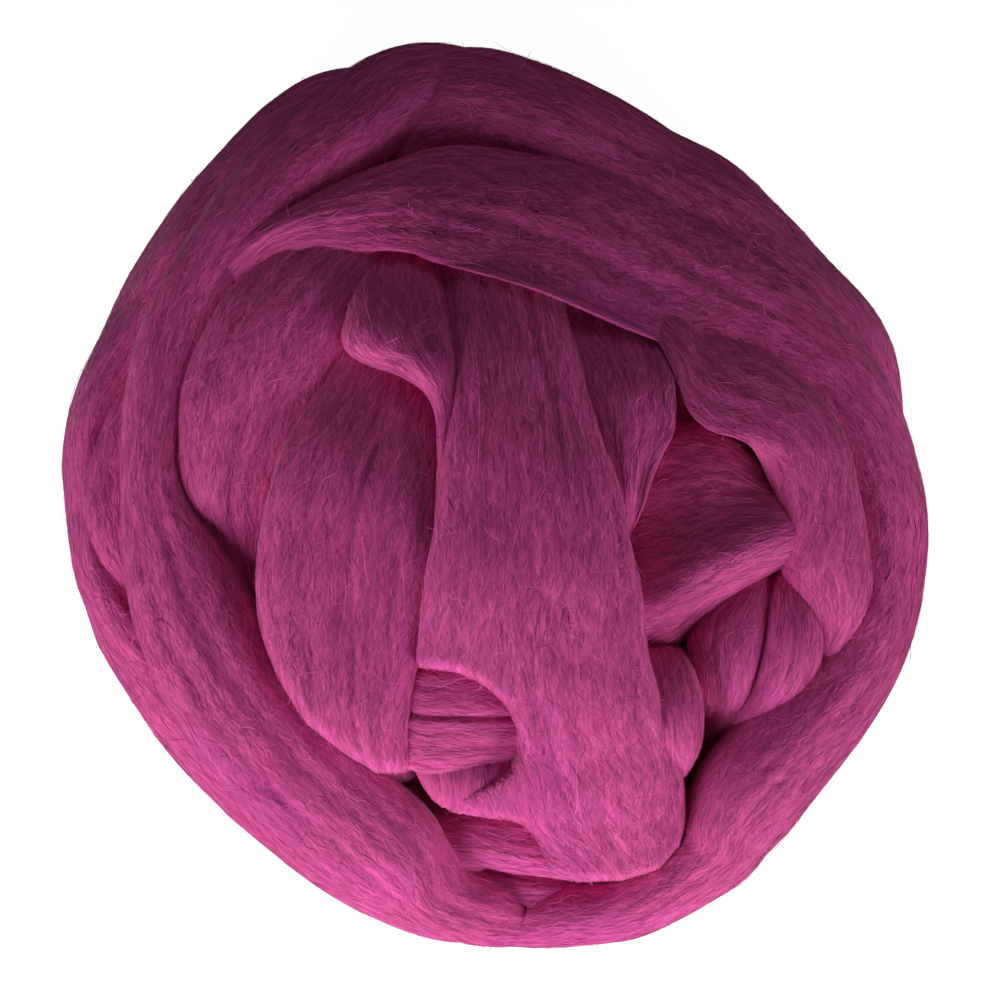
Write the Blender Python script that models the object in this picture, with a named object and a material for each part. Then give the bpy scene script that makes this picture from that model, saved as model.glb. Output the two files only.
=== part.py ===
"""A loosely wound ball of thick unspun wool, lying on a surface.

The ball is one solid. Each turn of the wool is a fat, flattened rope that follows a smooth route
through a few named sections. The turns are laid over a rounded middle and merged into one skin,
which is then cut flat underneath where the soft ball sags on the surface.

Frame: metres, +Z up, origin at the middle of the ball's footprint, on the surface it lies on.
"""

import math
from collections import namedtuple

import bmesh
import bpy
import numpy as np
from mathutils import Vector

MM = 0.001

# The rounded middle that the turns lie on.
MIDDLE_RADIUS = 94 * MM
MIDDLE_HALF_HEIGHT = 34 * MM
MIDDLE_Z = 35 * MM

# How finely the ropes and the skin are made.
ROUTE_STEP = 4
SECTION_SIDES = 20
# A section's shape: 2 is an ellipse, and more is squarer.
SECTION_POWER = 2.1
# How far a rope's rounded tip stands out past its last section, as a share of the half width there.
TIP_SHARE = 0.85
VOXEL = 2.2 * MM
SOFTENING_PASSES = 2
SKIN_TRIANGLES = 7600
CREASE_ANGLE = 60

# The soft ball sags this far into the surface that it lies on, and is cut flat there.
GROUND_SINK = 2.5 * MM
GROUND_SIZE = 400 * MM

WOOL_COLOUR = (0.342, 0.043, 0.162, 1.0)
WOOL_ROUGHNESS = 0.92

# The spiral of turns that the ball rests on, from under its middle outwards, and then up its side. Each
# row is a stage of it, in millimetres and degrees: how many turns it has made by then, how far out and
# how high it runs, and its roll.
BaseStage = namedtuple("BaseStage", "turns radius z roll")
BASE_STAGES = (
    BaseStage(0, 14, 11, 0),
    BaseStage(0.9, 37, 11, 0),
    BaseStage(1.8, 54, 11, 0),
    BaseStage(2.4, 76, 13.5, -20),
    BaseStage(3.0, 91, 18.5, -43),
    BaseStage(3.5, 99, 25, -63),
    BaseStage(4.1, 103, 34, -85),
)
BASE_START_ANGLE = 205
BASE_WIDTH = 30
BASE_THICK = 24
# The spiral is a little out of round.
BASE_WANDER = 2.5
BASE_SECTIONS_PER_TURN = 12

# One section of a turn, in millimetres and degrees: the middle of the rope, its width, its thickness,
# and how far it rolls over to the right of someone who travels along it.
Section = namedtuple("Section", "x y z width thick roll")

# The turns on the outside and on top, each from its hidden start to its hidden end.
TURNS = {
    # Outermost, round the left side.
    "outer_left": (
        Section(-20, 111, 34, 20, 16, 60),
        Section(-47, 105, 38, 28, 22, 62),
        Section(-73, 81, 38, 30, 24, 66),
        Section(-93, 49, 38, 30, 24, 70),
        Section(-106, 18, 38, 30, 24, 70),
        Section(-106, -14, 38, 30, 24, 70),
        Section(-94, -45, 38, 30, 24, 66),
        Section(-71, -72, 38, 30, 24, 60),
        Section(-42, -96, 38, 30, 24, 60),
        Section(-10, -112, 34, 24, 22, 62),
        Section(16, -110, 28, 14, 14, 60),
    ),
    # Second, just inside it and higher, broad at the front.
    "second_left": (
        Section(0, 116, 38, 16, 14, 50),
        Section(-24, 114, 46, 22, 20, 48),
        Section(-41, 102, 51, 28, 21, 40),
        Section(-58, 86, 53, 27, 21, 35),
        Section(-74, 67, 54, 22, 21, 25),
        Section(-86, 45, 55, 19, 21, 15),
        Section(-92, 24, 56, 17, 21, 0),
        Section(-93, 2, 57, 18, 21, 0),
        Section(-87, -20, 58, 30, 21, 4),
        Section(-80, -38, 58, 35, 21, 8),
        Section(-68, -59, 57, 34, 21, 12),
        Section(-50, -79, 55, 34, 21, 16),
        Section(-28, -97, 50, 33, 21, 25),
        Section(-6, -113, 43, 28, 20, 35),
        Section(14, -115, 34, 16, 14, 45),
    ),
    # Round the back, from under the second turn to the right side.
    "back": (
        Section(-36, 98, 42, 24, 20, -40),
        Section(-14, 111, 45, 30, 22, -44),
        Section(14, 105, 47, 32, 24, -42),
        Section(38, 95, 47, 32, 24, -42),
        Section(62, 79, 46, 32, 24, -45),
        Section(83, 59, 43, 30, 24, -50),
        Section(97, 37, 39, 28, 22, -55),
        Section(106, 12, 34, 20, 18, -60),
    ),
    # Over the crown, down the right side and along the front.
    "crown_right": (
        Section(-82, 32, 52, 12, 14, 0),
        Section(-76, 50, 57, 13, 17, -5),
        Section(-60, 69, 61, 17, 20, -10),
        Section(-38, 80, 65, 24, 24, -14),
        Section(-12, 82, 68, 33, 26, -16),
        Section(18, 75, 69, 40, 26, -16),
        Section(50, 62, 68, 41, 26, -18),
        Section(78, 46, 63, 33, 26, -24),
        Section(98, 25, 54, 28, 26, -40),
        Section(107, 2, 47, 28, 25, -55),
        Section(108, -20, 46, 28, 25, -58),
        Section(103, -40, 47, 30, 25, -50),
        Section(92, -60, 50, 32, 26, -40),
        Section(75, -80, 51, 32, 26, -32),
        Section(56, -98, 48, 30, 26, -34),
        Section(35, -110, 43, 27, 25, -40),
        Section(16, -117, 38, 23, 23, -44),
        Section(1, -116, 30, 12, 14, -45),
    ),
    # A narrow band along the inside of the crown turn.
    "under_crown": (
        Section(-14, 66, 64, 11, 12, 0),
        Section(-37, 66, 66, 14, 15, 0),
        Section(-54, 61, 64, 15, 16, 0),
        Section(-68, 51, 61, 15, 16, 0),
        Section(-79, 37, 57, 12, 14, 0),
        Section(-84, 20, 50, 7, 9, 0),
    ),
    # The leaf-shaped turn inside the left edge.
    "inner_left": (
        Section(-34, 60, 60, 16, 16, 0),
        Section(-50, 46, 63, 27, 20, 0),
        Section(-63, 30, 63, 31, 22, 4),
        Section(-72, 14, 61, 29, 22, 8),
        Section(-75, 0, 58, 21, 22, 8),
        Section(-72, -11, 52, 12, 18, 8),
        Section(-67, -20, 45, 7, 10, 0),
    ),
    # Broad and upright, left of the middle.
    "front_left": (
        Section(-28, 44, 60, 26, 20, 0),
        Section(-33, 24, 67, 40, 23, 4),
        Section(-38, 0, 70, 50, 24, 6),
        Section(-41, -25, 69, 48, 24, 8),
        Section(-39, -48, 65, 38, 24, 8),
        Section(-33, -66, 58, 25, 22, 6),
        Section(-27, -78, 47, 13, 14, 0),
    ),
    # The broadest, on top of the rest, down the middle.
    "front_middle": (
        Section(-2, 70, 58, 32, 20, 0),
        Section(1, 52, 68, 32, 22, 0),
        Section(6, 27, 75, 39, 24, 0),
        Section(10, 0, 78, 52, 25, 0),
        Section(11, -27, 78, 60, 25, 0),
        Section(17, -43, 76, 54, 25, 0),
        Section(26, -58, 73, 43, 25, 0),
        Section(28, -74, 69, 44, 26, 0),
        Section(31, -88, 62, 45, 27, 0),
        Section(32, -99, 52, 38, 24, 0),
        Section(31, -106, 42, 26, 14, 0),
    ),
    # The folded edge at the top of the middle turn, and the edge that runs down from it.
    "middle_fold": (
        Section(-26, 62, 62, 20, 14, 0),
        Section(-27, 50, 70, 23, 16, 0),
        Section(-24, 41, 74, 22, 16, 0),
        Section(-18, 32, 76, 14, 14, 0),
        Section(-14, 20, 77, 9, 12, 0),
        Section(-13, 2, 77, 7, 10, 0),
        Section(-15, -14, 74, 5, 8, 0),
    ),
    # Beside it at the front, where its left edge dives into the ball.
    "middle_flap": (
        Section(-14, -20, 70, 14, 14, 0),
        Section(-13, -34, 72, 18, 16, 0),
        Section(-12, -44, 69, 20, 14, 0),
        Section(-11, -49, 62, 16, 8, 0),
    ),
    # Right of the middle turn, from under the crown.
    "inner_right": (
        Section(24, 60, 60, 24, 18, 0),
        Section(30, 44, 67, 26, 20, -8),
        Section(35, 28, 69, 28, 22, -10),
        Section(38, 13, 67, 24, 20, -10),
        Section(38, 0, 61, 14, 16, 0),
        Section(36, -12, 54, 8, 10, 0),
    ),
    # The arc between the crown turn and the loop.
    "right_arc": (
        Section(36, 44, 54, 24, 18, -5),
        Section(55, 31, 61, 26, 20, -5),
        Section(70, 25, 63, 26, 21, -5),
        Section(82, 15, 62, 26, 22, -5),
        Section(91, 1, 59, 27, 23, -5),
        Section(94, -14, 57, 28, 23, -5),
        Section(94, -29, 55, 24, 22, -5),
        Section(94, -41, 49, 14, 18, 0),
        Section(90, -52, 42, 8, 12, 0),
    ),
    # The loop that fans out from under the middle turn: its hollow, then its rolled front edge.
    "loop_hollow": (
        Section(34, -14, 48, 50, 16, 0),
        Section(50, -10, 50, 46, 16, 0),
        Section(65, -5, 50, 38, 16, 0),
        Section(77, -5, 48, 24, 14, 0),
        Section(86, -6, 42, 10, 8, 0),
    ),
    "loop_edge": (
        Section(38, -44, 56, 14, 14, 0),
        Section(47, -37, 60, 17, 16, 0),
        Section(58, -27, 62, 16, 17, 0),
        Section(68, -20, 62, 14, 16, 0),
        Section(77, -12, 60, 11, 14, 0),
        Section(83, -6, 54, 6, 8, 0),
    ),
    # Two short crossings between the loop and the front rim.
    "crossing_inner": (
        Section(78, -14, 48, 12, 12, 0),
        Section(73, -27, 53, 17, 16, 0),
        Section(67, -39, 54, 20, 18, 0),
        Section(63, -50, 51, 17, 16, 0),
        Section(60, -62, 44, 9, 9, 0),
    ),
    "crossing_outer": (
        Section(88, -22, 46, 12, 12, 0),
        Section(84, -36, 52, 18, 16, 0),
        Section(78, -48, 52, 19, 17, 0),
        Section(70, -59, 49, 16, 16, 0),
        Section(61, -68, 43, 9, 9, 0),
    ),
    # The bulge beside the foot of the middle turn.
    "side_lobe": (
        Section(48, -36, 58, 10, 12, 0),
        Section(50, -48, 62, 14, 16, 0),
        Section(52, -60, 62, 15, 17, 0),
        Section(52, -70, 57, 13, 16, 0),
        Section(51, -78, 50, 7, 8, 0),
    ),
    # What shows in the gaps at the front.
    "gap_upper": (
        Section(-30, -54, 56, 13, 14, 0),
        Section(-9, -55, 60, 14, 15, 0),
        Section(16, -58, 56, 13, 14, 0),
    ),
    "gap_lower": (
        Section(-30, -67, 55, 16, 16, 0),
        Section(-9, -69, 60, 17, 18, 0),
        Section(16, -68, 55, 16, 16, 0),
    ),
    "front_low": (
        Section(-22, -90, 44, 16, 16, 0),
        Section(0, -97, 48, 18, 17, 0),
        Section(24, -101, 44, 16, 16, 0),
    ),
}


def clear_scene():
    for old in list(bpy.data.objects):
        bpy.data.objects.remove(old)


def smooth_rows(rows, step):
    """The rows of a table again, closer together, on a smooth curve through them all."""
    rows = np.array(rows, float)
    ends = 2 * rows[[0, -1]] - rows[[1, -2]]
    padded = np.vstack([ends[0], rows, ends[1]])
    filled = []
    for before, start, end, after in zip(padded, padded[1:], padded[2:], padded[3:]):
        pieces = max(1, round(np.linalg.norm(end[:3] - start[:3]) / step))
        for t in np.arange(pieces) / pieces:
            filled.append(
                0.5
                * (
                    2 * start
                    + (end - before) * t
                    + (2 * before - 5 * start + 4 * end - after) * t**2
                    + (3 * start - before - 3 * end + after) * t**3
                )
            )
    filled.append(rows[-1])
    return np.array(filled)


def ring_of(bm, middle, along, width, thick, roll):
    """One rounded cross-section of the rope, as a ring of vertices."""
    side = along.cross(Vector((0, 0, 1))).normalized()
    up = side.cross(along)
    lean = math.radians(roll)
    side, up = side * math.cos(lean) - up * math.sin(lean), up * math.cos(lean) + side * math.sin(lean)
    power = 2 / SECTION_POWER
    ring = []
    for i in range(SECTION_SIDES):
        angle = math.tau * i / SECTION_SIDES
        across = math.copysign(abs(math.cos(angle)) ** power, math.cos(angle)) / 2
        height = math.copysign(abs(math.sin(angle)) ** power, math.sin(angle)) / 2
        ring.append(bm.verts.new(middle + side * across * width + up * height * thick))
    return ring


def add_rope(bm, rows):
    """A closed rope through the rows, which are sections in millimetres and degrees."""
    rows = smooth_rows(rows, ROUTE_STEP)
    middles = [Vector(row[:3]) * MM for row in rows]
    rings = []
    for i, row in enumerate(rows):
        along = (middles[min(i + 1, len(rows) - 1)] - middles[max(i - 1, 0)]).normalized()
        rings.append(ring_of(bm, middles[i], along, row[3] * MM, row[4] * MM, row[5]))
    for ring, following in zip(rings, rings[1:]):
        for i in range(SECTION_SIDES):
            j = (i + 1) % SECTION_SIDES
            bm.faces.new((ring[i], ring[j], following[j], following[i]))
    for ring, middle, inner in ((rings[0], middles[0], middles[1]), (rings[-1], middles[-1], middles[-2])):
        out = (middle - inner).normalized()
        reach = TIP_SHARE * min((corner.co - middle).length for corner in ring)
        tip = bm.verts.new(middle + out * reach)
        for i in range(SECTION_SIDES):
            bm.faces.new((ring[i], ring[(i + 1) % SECTION_SIDES], tip))


def base_rows():
    """The sections of the spiral that the ball rests on, worked out from its stages."""
    stages = np.array(BASE_STAGES)
    rows = []
    for turns in np.arange(0, stages[-1, 0], 1 / BASE_SECTIONS_PER_TURN):
        radius, z, roll = (np.interp(turns, stages[:, 0], column) for column in stages[:, 1:].T)
        angle = math.radians(BASE_START_ANGLE) + math.tau * turns
        radius += BASE_WANDER * math.sin(2 * angle)
        rows.append(
            Section(radius * math.cos(angle), radius * math.sin(angle), z, BASE_WIDTH, BASE_THICK, roll)
        )
    return rows


def add_middle(bm):
    """The rounded middle under the turns."""
    made = bmesh.ops.create_icosphere(bm, subdivisions=4, radius=1)["verts"]
    bmesh.ops.scale(bm, vec=(MIDDLE_RADIUS, MIDDLE_RADIUS, MIDDLE_HALF_HEIGHT), verts=made)
    bmesh.ops.translate(bm, vec=(0, 0, MIDDLE_Z), verts=made)


def merged_skin(bm):
    """One closed skin round everything in bm, as a new mesh of about SKIN_TRIANGLES triangles."""
    bmesh.ops.recalc_face_normals(bm, faces=bm.faces)
    draft_mesh = bpy.data.meshes.new("draft")
    bm.to_mesh(draft_mesh)
    draft = bpy.data.objects.new("draft", draft_mesh)
    bpy.context.scene.collection.objects.link(draft)
    remesh = draft.modifiers.new("one skin", "REMESH")
    remesh.mode = "VOXEL"
    remesh.voxel_size = VOXEL
    smooth = draft.modifiers.new("soften", "SMOOTH")
    smooth.iterations = SOFTENING_PASSES
    bpy.context.view_layer.update()
    graph = bpy.context.evaluated_depsgraph_get()
    quads = len(draft.evaluated_get(graph).data.polygons)
    fewer = draft.modifiers.new("fewer faces", "DECIMATE")
    fewer.ratio = SKIN_TRIANGLES / (2 * quads)
    bpy.context.view_layer.update()
    graph = bpy.context.evaluated_depsgraph_get()
    skin = bpy.data.meshes.new_from_object(draft.evaluated_get(graph))
    bpy.data.objects.remove(draft)
    bpy.data.meshes.remove(draft_mesh)
    return skin


def keep_outer_shell(bm):
    """Removes the closed pockets between the turns, so that only the outer skin is left."""
    unseen = set(bm.faces)
    shells = []
    while unseen:
        shell = []
        to_visit = [unseen.pop()]
        while to_visit:
            face = to_visit.pop()
            shell.append(face)
            for edge in face.edges:
                for neighbour in edge.link_faces:
                    if neighbour in unseen:
                        unseen.remove(neighbour)
                        to_visit.append(neighbour)
        shells.append(shell)
    shells.sort(key=len)
    pockets = [face for shell in shells[:-1] for face in shell]
    bmesh.ops.delete(bm, geom=pockets, context="FACES")


def settle(skin):
    """Centres the skin's footprint on the origin, and sinks it a little into the ground."""
    bm = bmesh.new()
    bm.from_mesh(skin)
    keep_outer_shell(bm)
    corners = np.array([corner.co for corner in bm.verts])
    middle = (corners.min(axis=0) + corners.max(axis=0)) / 2
    lowest = corners[:, 2].min()
    bmesh.ops.translate(bm, vec=(-middle[0], -middle[1], -lowest - GROUND_SINK), verts=bm.verts)
    bm.to_mesh(skin)
    bm.free()


def flatten_underneath(ball):
    """Cuts off what is below the surface that the ball lies on."""
    ground_mesh = bpy.data.meshes.new("ground")
    bm = bmesh.new()
    box = bmesh.ops.create_cube(bm, size=GROUND_SIZE)["verts"]
    bmesh.ops.translate(bm, vec=(0, 0, -GROUND_SIZE / 2), verts=box)
    bm.to_mesh(ground_mesh)
    bm.free()
    ground = bpy.data.objects.new("ground", ground_mesh)
    ground.hide_render = True
    ground.display_type = "WIRE"
    bpy.context.scene.collection.objects.link(ground)
    cut = ball.modifiers.new("flat underneath", "BOOLEAN")
    cut.operation = "DIFFERENCE"
    cut.solver = "EXACT"
    cut.object = ground


def wool_material():
    material = bpy.data.materials.new("magenta_wool")
    material.use_nodes = True
    shader = material.node_tree.nodes["Principled BSDF"]
    shader.inputs["Base Color"].default_value = WOOL_COLOUR
    shader.inputs["Roughness"].default_value = WOOL_ROUGHNESS
    shader.inputs["Metallic"].default_value = 0.0
    return material


def build_ball():
    bm = bmesh.new()
    add_middle(bm)
    add_rope(bm, base_rows())
    for rows in TURNS.values():
        add_rope(bm, rows)
    skin = merged_skin(bm)
    bm.free()
    settle(skin)
    skin.name = "wound_wool"
    skin.shade_smooth()
    skin.set_sharp_from_angle(angle=math.radians(CREASE_ANGLE))
    skin.materials.append(wool_material())
    ball = bpy.data.objects.new("wound_wool", skin)
    bpy.context.scene.collection.objects.link(ball)
    flatten_underneath(ball)


clear_scene()
build_ball()
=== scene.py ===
"""A loosely wound, flattened ball of thick unspun wool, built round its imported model.

The wool was combed but never spun, so the strand is soft, flat and silky, and parts into long locks.
Each turn of it is one piece: a rope through a short table of sections, with furrows and locks along it.
Loose fibres lie along every turn and stand off it a little.
"""

import logging
import math
from dataclasses import dataclass, field
from enum import Enum
from typing import NamedTuple

import bmesh
import bpy
import numpy as np
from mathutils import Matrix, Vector
from mathutils.bvhtree import BVHTree


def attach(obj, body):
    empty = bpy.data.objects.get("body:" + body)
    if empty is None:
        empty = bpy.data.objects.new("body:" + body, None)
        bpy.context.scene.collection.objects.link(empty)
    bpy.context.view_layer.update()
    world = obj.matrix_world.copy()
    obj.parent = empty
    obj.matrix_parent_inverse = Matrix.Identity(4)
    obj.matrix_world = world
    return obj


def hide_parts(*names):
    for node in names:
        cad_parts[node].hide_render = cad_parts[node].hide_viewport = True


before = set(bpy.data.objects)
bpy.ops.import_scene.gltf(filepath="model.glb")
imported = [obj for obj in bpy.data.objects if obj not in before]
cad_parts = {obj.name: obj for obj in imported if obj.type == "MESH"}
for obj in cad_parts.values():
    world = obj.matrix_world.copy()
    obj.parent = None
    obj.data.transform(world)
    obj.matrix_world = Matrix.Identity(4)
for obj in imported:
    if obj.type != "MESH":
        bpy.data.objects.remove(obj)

log = logging.getLogger("wool_ball")
Array = np.ndarray
Random = np.random.Generator
Colour = tuple[float, float, float]

MM = 0.001
CM2_PER_M2 = 1e4
CAD_NODE = "wound_wool"
BODY = "root"
# The piece that nobody sees, which needs no fibres.
INSIDE = "inner_coil"
# Where the origin of the tables lies in the frame, in millimetres: the frame's is mid-footprint.
TABLE_ORIGIN = (-0.7, 1.7, -1.6)
# The maps on every piece: where a fibre runs, in millimetres, and the one that textures are drawn on.
RUN_MAP = "fibre_run"
DRAWN_MAP = "OFBake"

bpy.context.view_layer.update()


class Section(NamedTuple):
    """One section of a turn, in millimetres and degrees.

    roll is how far the section rolls over to the right of someone who travels along the turn.
    """

    x: float
    y: float
    z: float
    width: float
    thick: float
    roll: float


class Edges(NamedTuple):
    """Both edges of a band at one section, and its thickness there, in millimetres."""

    first_x: float
    first_y: float
    first_z: float
    second_x: float
    second_y: float
    second_z: float
    thick: float


class Furrow(NamedTuple):
    """A groove along a turn, or a ridge if its depth is negative.

    It runs from one share of the turn's length to another. Its place across the turn goes from -1 to 1:
    from the left edge of someone who travels along a rope, or from a band's first edge. Its width and
    depth are in millimetres.
    """

    starts: float
    ends: float
    across_start: float
    across_end: float
    width: float
    depth: float


@dataclass(frozen=True)
class Dive:
    """Where the fibres of a band turn down and out of sight.

    Attributes:
        line: The brink, as points in plan. What lies to the right of someone who walks it is pressed down.
        depth: How far down, in millimetres.
        slope: How wide the slope below the brink is, in millimetres.
    """

    line: tuple[tuple[float, float], ...]
    depth: float
    slope: float

    # How high the dived wool stays, in millimetres, and the share of its height above that which it keeps.
    floor = 30.0
    kept = 0.1

    def press(self, places: Array) -> Array:
        """Finds how far down each place is pressed.

        Args:
            places: Places in metres, in the last axis.

        Returns:
            The depth at each, in metres.
        """
        plan = places[..., None, :2] / MM
        starts, ends = np.array(self.line[:-1]), np.array(self.line[1:])
        runs = ends - starts
        off = plan - starts
        share = np.clip((off * runs).sum(-1) / (runs**2).sum(-1), 0, 1)
        gap = off - share[..., None] * runs
        distance = np.linalg.norm(gap, axis=-1)
        right = runs[:, 1] * off[..., 0] - runs[:, 0] * off[..., 1] > 0
        nearest = distance.argmin(-1)[..., None]
        distance = np.take_along_axis(distance, nearest, -1)[..., 0]
        right = np.take_along_axis(right, nearest, -1)[..., 0]
        return self.depth * MM * smooth_step(0, self.slope, np.where(right, distance, -distance))

    @classmethod
    def stop(cls, high: Array) -> Array:
        """The lowest that wool this high, in metres, may be pressed."""
        floor = cls.floor * MM
        return np.minimum(high, floor + cls.kept * (high - floor))


class SpiralStage(NamedTuple):
    """A stage of a spiral, in millimetres and degrees: the turns made by then, and where it runs."""

    turns: float
    radius: float
    z: float
    roll: float


class Hidden(Enum):
    """The face of a turn that the rest of the ball covers, as an angle round its section in degrees."""

    BELOW = -90.0
    ABOVE = 90.0


def smooth_rows(rows: Array, step: float, points: int = 1) -> Array:
    """Fills in a table on a smooth curve through all its rows.

    Args:
        rows: One row a section, with its points in the first columns, three for each.
        step: How far apart the new rows are, in the table's unit.
        points: How many points a row has.

    Returns:
        The closer rows, with the same columns.
    """
    rows = np.asarray(rows, float)
    ends = 2 * rows[[0, -1]] - rows[[1, -2]]
    padded = np.vstack([ends[0], rows, ends[1]])
    filled = []
    for before, start, end, after in zip(padded, padded[1:], padded[2:], padded[3:]):
        moves = (end - start)[: 3 * points].reshape(points, 3)
        pieces = max(1, round(np.linalg.norm(moves, axis=1).max() / step))
        t = (np.arange(pieces) / pieces)[:, None]
        filled.append(
            0.5
            * (
                2 * start
                + (end - before) * t
                + (2 * before - 5 * start + 4 * end - after) * t**2
                + (3 * start - before - 3 * end + after) * t**3
            )
        )
    return np.vstack([*filled, rows[-1:]])


def unit(vectors: Array) -> Array:
    """The vectors of the last axis, each made one long."""
    return vectors / np.maximum(np.linalg.norm(vectors, axis=-1, keepdims=True), 1e-12)


def smooth_step(low: float, high: float, value: Array) -> Array:
    """0 below low and 1 above high, with a smooth rise between them."""
    t = np.clip((value - low) / (high - low), 0, 1)
    return t * t * (3 - 2 * t)


@dataclass(frozen=True)
class Ripple:
    """A smooth random field on a turn, of waves that run nearly along it.

    Attributes:
        slowest: The fewest waves round the turn.
        fastest: The most waves round the turn.
        drift: How much a wave slants, as waves in a metre of length.
        waves: How many waves are added up.
    """

    slowest: int
    fastest: int
    drift: float
    waves: int = 20

    def at(self, around: Array, along: Array, seed: int) -> Array:
        """Reads the field.

        Args:
            around: Shares of the way round the turn.
            along: Metres along the turn.
            seed: Which of the fields of this kind it is.

        Returns:
            Values about 0 that spread by about 1.
        """
        rng = np.random.default_rng(seed)
        total = np.zeros(np.broadcast(around, along).shape)
        for _ in range(self.waves):
            turns = rng.integers(self.slowest, self.fastest + 1)
            slant = rng.normal(0, self.drift)
            phase = rng.random()
            total += np.sin(math.tau * (turns * around + slant * along + phase))
        return total / math.sqrt(self.waves / 2)


def grid_quads(rings: int, sides: int) -> tuple[Array, Array, Array]:
    """Lists the faces of a grid of closed rings.

    Args:
        rings: How many rings it has.
        sides: How many points each ring has.

    Returns:
        Each face's ring and side, and its four points, by ring and by side.
    """
    ring, side = np.meshgrid(np.arange(rings - 1), np.arange(sides), indexing="ij")
    after = (side + 1) % sides
    start, following = ring * sides, (ring + 1) * sides
    return ring, side, np.stack([start + side, following + side, following + after, start + after], axis=-1)


@dataclass
class Skin:
    """A turn's surface as a grid of rings, in metres.

    Attributes:
        places: The points, by ring and by side.
        along: How far along the turn each ring is.
        girth: The turn's mean length round.
        capped: How many rings at each end belong to its rounded tip.
        around: Each side's share of the way round.
        outward: The unit normal at each point.
    """

    places: Array
    along: Array
    girth: float
    capped: int
    around: Array
    outward: Array = field(init=False)

    def __post_init__(self) -> None:
        """Works the first normals out."""
        self.refresh()

    def refresh(self) -> None:
        """Works the normals out again after the points have moved."""
        down = np.gradient(self.places, axis=0)
        wrapped = np.concatenate([self.places[:, -1:], self.places, self.places[:, :1]], axis=1)
        round_it = (wrapped[:, 2:] - wrapped[:, :-2]) / 2
        self.outward = unit(np.cross(down, round_it))

    def mesh(self, name: str) -> bpy.types.Mesh:
        """Builds the closed mesh with its two maps.

        Args:
            name: The mesh's name.

        Returns:
            The mesh, shaded smooth.
        """
        rings, sides = self.places.shape[:2]
        ring, side, quads = grid_quads(rings, sides)
        points = np.vstack([self.places.reshape(-1, 3), self.places[0].mean(0), self.places[-1].mean(0)])
        fan = np.arange(sides)
        following = (fan + 1) % sides
        first, last = (np.full(sides, rings * sides + end) for end in (0, 1))
        end_ring = (rings - 1) * sides
        start_fan = np.stack([fan, following, first], axis=1)
        end_fan = np.stack([end_ring + following, end_ring + fan, last], axis=1)
        corners = np.concatenate([quads.ravel(), start_fan.ravel(), end_fan.ravel()])
        counts = np.concatenate([np.full(ring.size, 4), np.full(2 * sides, 3)])
        share = self.along / self.along[-1]
        share_round = np.append(self.around, 1.0)
        quad_rings = np.stack([ring, ring + 1, ring + 1, ring], axis=-1)
        quad_sides = np.stack([side, side, side + 1, side + 1], axis=-1)
        fan_sides = np.concatenate([np.stack([fan, fan + 1, fan], 1), np.stack([fan + 1, fan, fan], 1)])
        loop_sides = np.concatenate([share_round[quad_sides].ravel(), share_round[fan_sides].ravel()])
        loop_share = np.concatenate([share[quad_rings].ravel(), np.zeros(3 * sides), np.ones(3 * sides)])
        mesh = new_mesh(name, points, corners, counts)
        add_map(mesh, DRAWN_MAP, loop_share, loop_sides)
        add_map(mesh, RUN_MAP, loop_share * self.along[-1] / MM, loop_sides * self.girth / MM)
        return mesh


def new_mesh(name: str, points: Array, corners: Array, counts: Array) -> bpy.types.Mesh:
    """Makes a smooth mesh from arrays.

    Args:
        name: The mesh's name.
        points: The vertices, one row each, in metres.
        corners: The vertex of each corner, face after face.
        counts: How many corners each face has.

    Returns:
        The mesh.
    """
    mesh = bpy.data.meshes.new(name)
    mesh.vertices.add(len(points))
    mesh.vertices.foreach_set("co", points.astype(np.float32).ravel())
    mesh.loops.add(len(corners))
    mesh.loops.foreach_set("vertex_index", corners.astype(np.int32))
    mesh.polygons.add(len(counts))
    starts = np.concatenate([[0], np.cumsum(counts)[:-1]])
    mesh.polygons.foreach_set("loop_start", starts.astype(np.int32))
    mesh.update(calc_edges=True)
    mesh.validate()
    mesh.shade_smooth()
    return mesh


def add_map(mesh: bpy.types.Mesh, name: str, u: Array, v: Array) -> None:
    """Gives the mesh a map from its corners' u and v."""
    layer = mesh.uv_layers.new(name=name)
    layer.uv.foreach_set("vector", np.stack([u, v], axis=-1).astype(np.float32).ravel())


def place_piece(name: str, mesh: bpy.types.Mesh, material: bpy.types.Material) -> bpy.types.Object:
    """Puts a mesh in the scene as a piece that rides on the ball.

    Args:
        name: The piece's name.
        mesh: Its mesh, already in place.
        material: Its material.

    Returns:
        The piece.
    """
    mesh.materials.append(material)
    piece = bpy.data.objects.new(name, mesh)
    bpy.context.scene.collection.objects.link(piece)
    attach(piece, BODY)
    return piece


# --- shader building -------------------------------------------------------------------------------


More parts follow.
